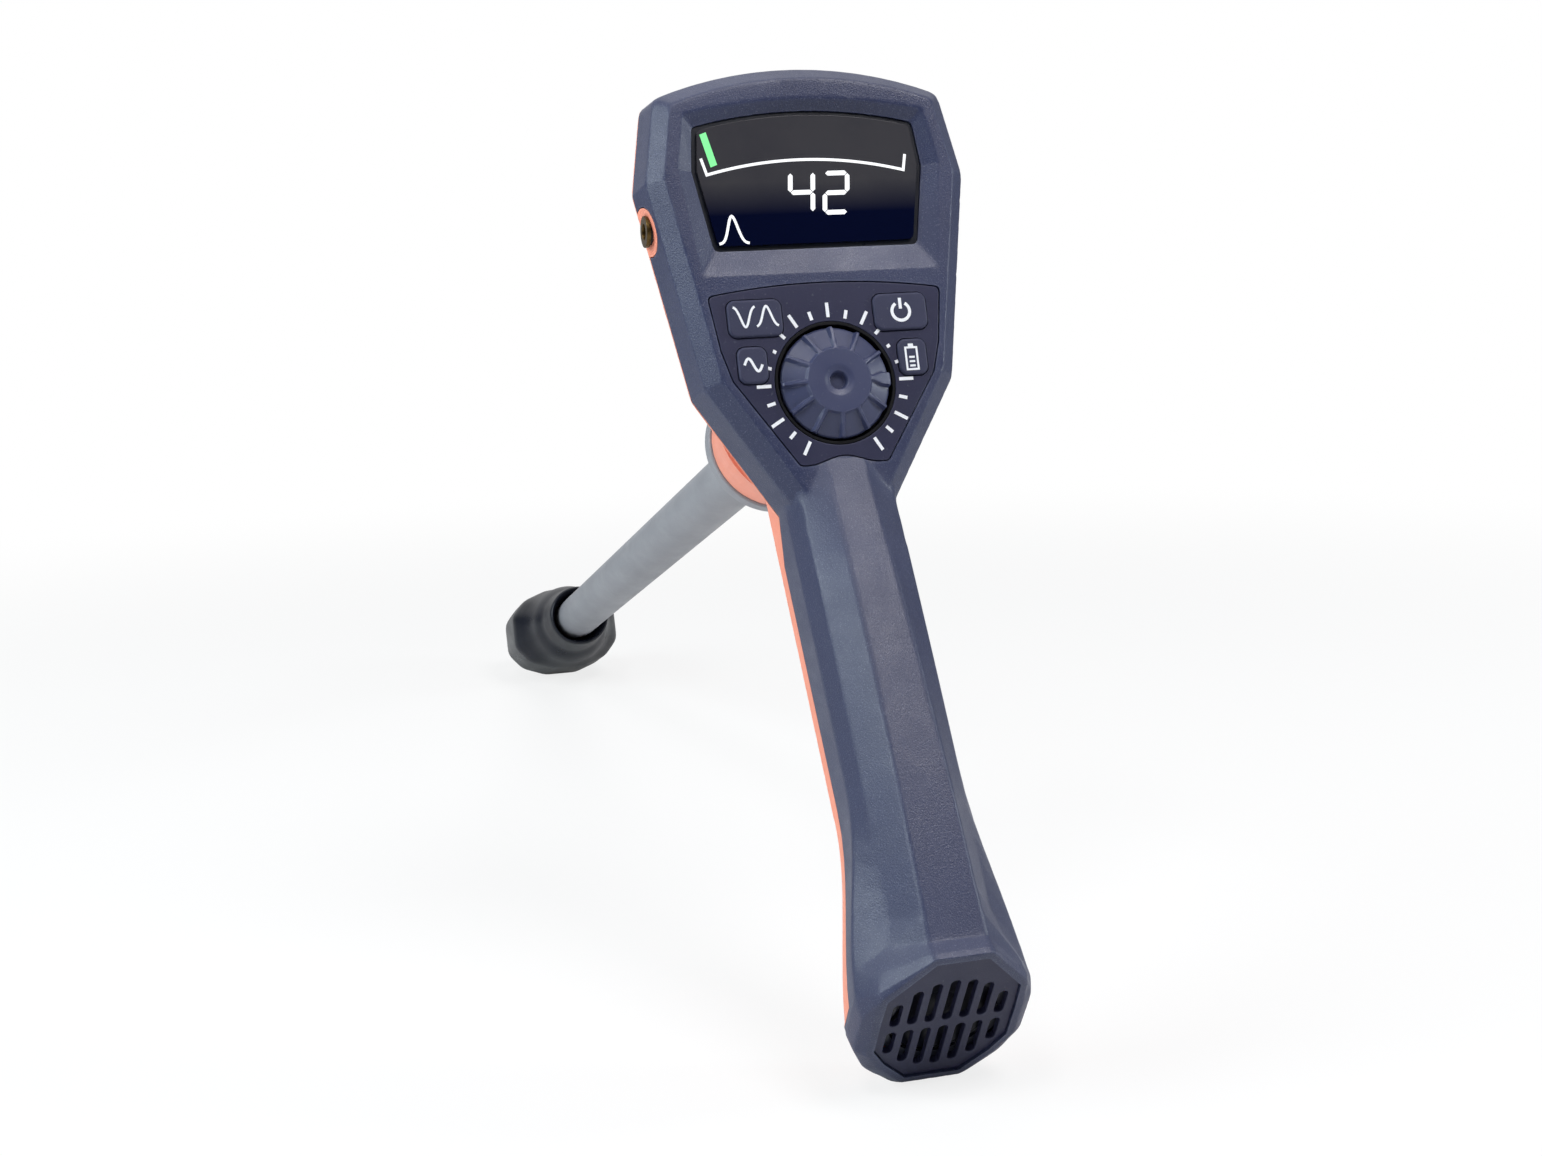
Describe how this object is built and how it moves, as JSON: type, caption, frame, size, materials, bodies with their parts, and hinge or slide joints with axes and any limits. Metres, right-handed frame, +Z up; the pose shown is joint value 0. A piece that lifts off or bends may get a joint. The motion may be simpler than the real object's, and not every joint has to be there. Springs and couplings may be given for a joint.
{
  "type": "cable locator receiver",
  "caption": "Hand-held cable locator: shield-shaped head with display, keypad and turning dial, faceted grip ending in a loudspeaker, and a long antenna wand with a rubber boot.",
  "frame": {"origin": "bottom centre of the object's box, on the ground under it", "axes": "+X to the right as one faces the display, +Y back along the wand from the head to the boot, +Z up"},
  "size_m": [0.102, 0.6037, 0.2811],
  "materials": {
    "navy_plastic": "fine moulded texture",
    "navy_rubber": "smooth moulded rubber",
    "orange_plastic": "satin moulded",
    "black_plastic": "matt",
    "black_rubber": "matt rubber",
    "black_glass": "polished",
    "grey_plastic": "smooth",
    "steel": "plated",
    "brass": "turned",
    "board": "coated",
    "ferrite": "sintered",
    "copper": "enamelled wire"
  },
  "bodies": {
    "housing": {"front_shell": "navy_plastic", "rear_shell": "orange_plastic", "keypad_panel": "navy_plastic", "dial_well": "black_plastic", "potentiometer": "black_plastic", "potentiometer_nut": "steel", "display_window": "black_glass", "window_gasket": "black_rubber", "display_module": "steel", "main_board": "board", "tactile_switches": "black_plastic", "headphone_jack": "black_plastic", "jack_nut": "brass", "speaker_grille": "navy_plastic", "speaker_gasket": "black_rubber", "speaker_basket": "steel", "speaker_cone": "black_plastic", "speaker_magnet": "steel", "battery_tray": "black_plastic", "battery_cells": "steel", "battery_contacts": "brass", "battery_cover": "orange_plastic", "cover_screw": "steel", "shell_screws": "steel", "wand_collar": "grey_plastic", "collar_seal": "black_rubber", "tube_nut": "steel", "wand_tube": "grey_plastic", "ferrite_rod": "ferrite", "coil_former": "black_plastic", "antenna_coil": "copper", "rod_spacers": "black_plastic", "coil_lead": "black_rubber", "tube_plug": "black_rubber", "boot": "black_rubber"},
    "dial": {"dial_knob": "navy_plastic", "dial_shaft": "steel"},
    "peak_null_button": {"peak_null_button": "navy_rubber"},
    "power_button": {"power_button": "navy_rubber"},
    "frequency_button": {"frequency_button": "navy_rubber"},
    "battery_button": {"battery_button": "navy_rubber"}
  },
  "joints": [
    {"name": "dial_turn", "type": "hinge", "parent": "housing", "child": "dial", "pos_m": [0, -0.2022, 0.18945], "axis": [0, -0.9555, 0.2951], "range_deg": [-60, 240]},
    {"name": "peak_null_press", "type": "slide", "parent": "housing", "child": "peak_null_button", "axis": [0, 0.9555, -0.2951], "range_m": [0, 0.0008], "stiffness_N_per_m": 1500},
    {"name": "power_press", "type": "slide", "parent": "housing", "child": "power_button", "axis": [0, 0.9555, -0.2951], "range_m": [0, 0.0008], "stiffness_N_per_m": 1500},
    {"name": "frequency_press", "type": "slide", "parent": "housing", "child": "frequency_button", "axis": [0, 0.9555, -0.2951], "range_m": [0, 0.0008], "stiffness_N_per_m": 1500},
    {"name": "battery_press", "type": "slide", "parent": "housing", "child": "battery_button", "axis": [0, 0.9555, -0.2951], "range_m": [0, 0.0008], "stiffness_N_per_m": 1500}
  ]
}
